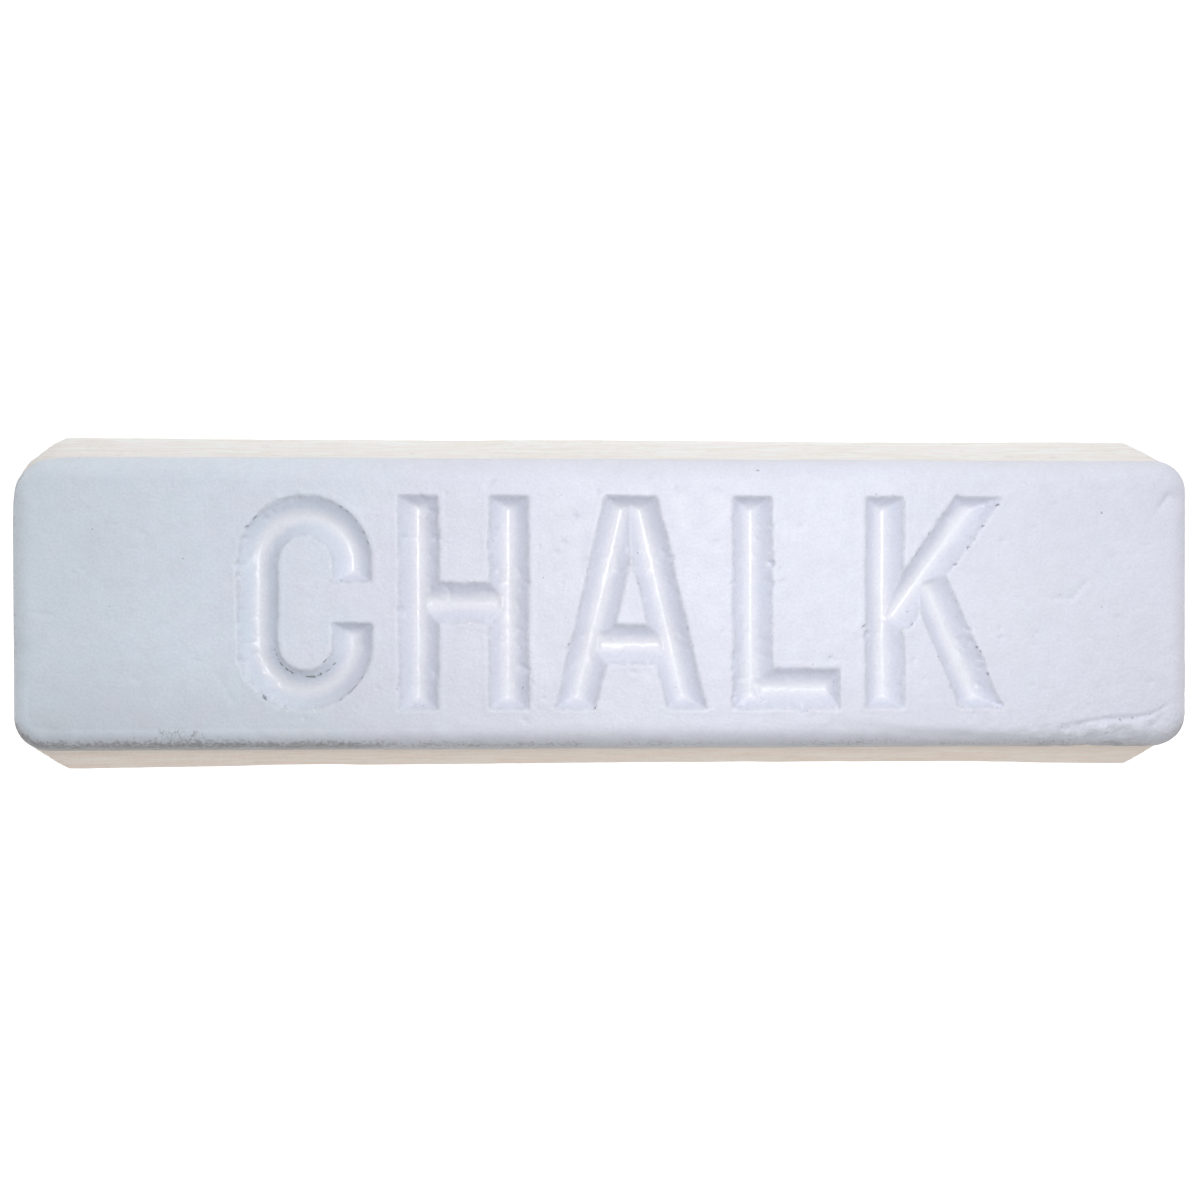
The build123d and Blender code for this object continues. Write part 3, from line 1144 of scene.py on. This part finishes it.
def cast_chalk():
    """The finish of the whole bar."""
    chalk = Recipe("cast_chalk")
    masks = chalk_masks(chalk)
    roughness = chalk.mix(masks["groove"], SKIN_ROUGHNESS, GROOVE_ROUGHNESS)
    roughness = chalk.mix(masks["wall"], roughness, WALL_ROUGHNESS)
    roughness = chalk.mix(masks["base"], roughness, BASE_ROUGHNESS)
    roughness = chalk.plus(roughness, chalk.swing(chalk.cloud(3.0, seed=97), 0.06))
    chalk.feed(chalk.shader.inputs["Roughness"], roughness)
    chalk.feed(chalk.shader.inputs["Base Color"], chalk_colour(chalk, masks))
    chalk.feed(chalk.shader.inputs["Normal"], chalk.bump(chalk_relief(chalk, masks)))
    print("chalk nodes:", len(chalk.nodes))
    return chalk.material


bar_mesh.materials.append(cast_chalk())

# %% [markdown]
# ## Floor, light and camera
# The bar lies on white paper that is lit strongly enough to lose its shadows, as on a light
# table. A small amount of glow in the paper does the same here. One soft lamp hangs close above,
# right of the middle and a little behind, so the face is brightest there. The sky is brighter
# behind the bar than in front of it, so the upper sides of the grooves, which face the front,
# fall into shade.

# %% Floor
floor_reach = 4.0
floor_mesh = bpy.data.meshes.new("floor")
floor_outline = [(-1, -1), (1, -1), (1, 1), (-1, 1)]
floor_corners = [(floor_reach * x, floor_reach * y, 0) for x, y in floor_outline]
floor_mesh.from_pydata(floor_corners, [], [(0, 1, 2, 3)])
floor = bpy.data.objects.new("floor", floor_mesh)
bpy.context.scene.collection.objects.link(floor)
paper_glow, paper_backlight = 0.55, 0.28
PAPER_WHITE, GRAIN_DARK, GRAIN_PALE = (1, 1, 1, 1), 0.74, 0.78


def white_paper():
    """Paper with a faint grain that glows a little. The part of the glow that only the camera
    sees keeps the paper white without lighting the bar from below."""
    paper = Recipe("white_paper")
    seen = paper.nodes.new("ShaderNodeLightPath").outputs["Is Camera Ray"]
    glow = paper.plus(paper.times(seen, paper_backlight), paper_glow)
    shade = paper.spread(paper.cloud(0.9, seed=99), GRAIN_DARK, GRAIN_PALE)
    grained = paper.blend(1.0, PAPER_WHITE, shade, way="MULTIPLY")
    paper.feed(paper.shader.inputs["Base Color"], grained)
    paper.feed(paper.shader.inputs["Emission Color"], PAPER_WHITE)
    paper.feed(paper.shader.inputs["Emission Strength"], glow)
    paper.feed(paper.shader.inputs["Roughness"], 0.8)
    return paper.material


floor_mesh.materials.append(white_paper())


# %% Aiming a lamp or a camera
def aimed(place, aim, up):
    """A turn that looks from place to aim along -Z, with up as near to +Y as it can be: back is
    the line from aim to place, right is up crossed with back, and the third is their cross."""
    back = np.array(place, dtype=float) - np.array(aim, dtype=float)
    back /= np.linalg.norm(back)
    right = np.cross(up, back)
    right /= np.linalg.norm(right)
    return Matrix(np.stack([right, np.cross(back, right), back], axis=1).tolist()).to_euler()


# %% World and lamps
def soft_world(strength, slant, seen):
    """Light from all round: its strength rises evenly from the -Y side of the sky to the +Y side,
    from (1 - slant) to (1 + slant) times its mean. The camera sees an even backdrop instead."""
    world = bpy.data.worlds.new("studio")
    world.use_nodes = True
    nodes, links = world.node_tree.nodes, world.node_tree.links
    direction = nodes.new("ShaderNodeTexCoord")
    split = nodes.new("ShaderNodeSeparateXYZ")
    ramp = nodes.new("ShaderNodeMath")
    ramp.operation = "MULTIPLY_ADD"
    ramp.inputs[1].default_value = strength * slant
    ramp.inputs[2].default_value = strength
    from_camera = nodes.new("ShaderNodeLightPath")
    choice = nodes.new("ShaderNodeMix")
    choice.inputs[3].default_value = seen
    links.new(direction.outputs["Generated"], split.inputs["Vector"])
    links.new(split.outputs["Y"], ramp.inputs[0])
    links.new(from_camera.outputs["Is Camera Ray"], choice.inputs[0])
    links.new(ramp.outputs["Value"], choice.inputs[2])
    links.new(choice.outputs[0], nodes["Background"].inputs["Strength"])
    nodes["Background"].inputs["Color"].default_value = (1, 1, 1, 1)
    return world


sky_strength, sky_slant, backdrop = 0.50, 0.56, 0.80
bpy.context.scene.world = soft_world(sky_strength, sky_slant, seen=backdrop)
along_y = (0, 1, 0)


def area_lamp(name, place, aim, width, power):
    """A square soft lamp, with its places and width in mm and its power in watts."""
    lamp = bpy.data.lights.new(name, "AREA")
    lamp.size = width * MM
    lamp.energy = power
    holder = bpy.data.objects.new(name, lamp)
    bpy.context.scene.collection.objects.link(holder)
    holder.location = np.array(place) * MM
    holder.rotation_euler = aimed(place, aim, along_y)
    return holder


lamp_place, lamp_aim = (32, 26, bar_height + 200), (32, 0, bar_height)
lamp_width, lamp_power = 30, 0.2135
area_lamp("key", lamp_place, lamp_aim, lamp_width, lamp_power)

# %% Camera
sensor = 36.0
focal_share = 1.0768
camera_data = bpy.data.cameras.new("camera")
camera_data.sensor_width = sensor
camera_data.lens = sensor * focal_share
camera_data.clip_start = 0.01
camera = bpy.data.objects.new("camera", camera_data)
bpy.context.scene.collection.objects.link(camera)
camera_place = np.array([-11.2, 1.1, bar_height + 218.6])
camera_aim = np.array([-1.9, 0.5, bar_height])
camera.location = camera_place * MM
camera.rotation_euler = aimed(camera_place, camera_aim, along_y)
bpy.context.scene.camera = camera
bpy.context.scene.view_settings.view_transform = "Standard"
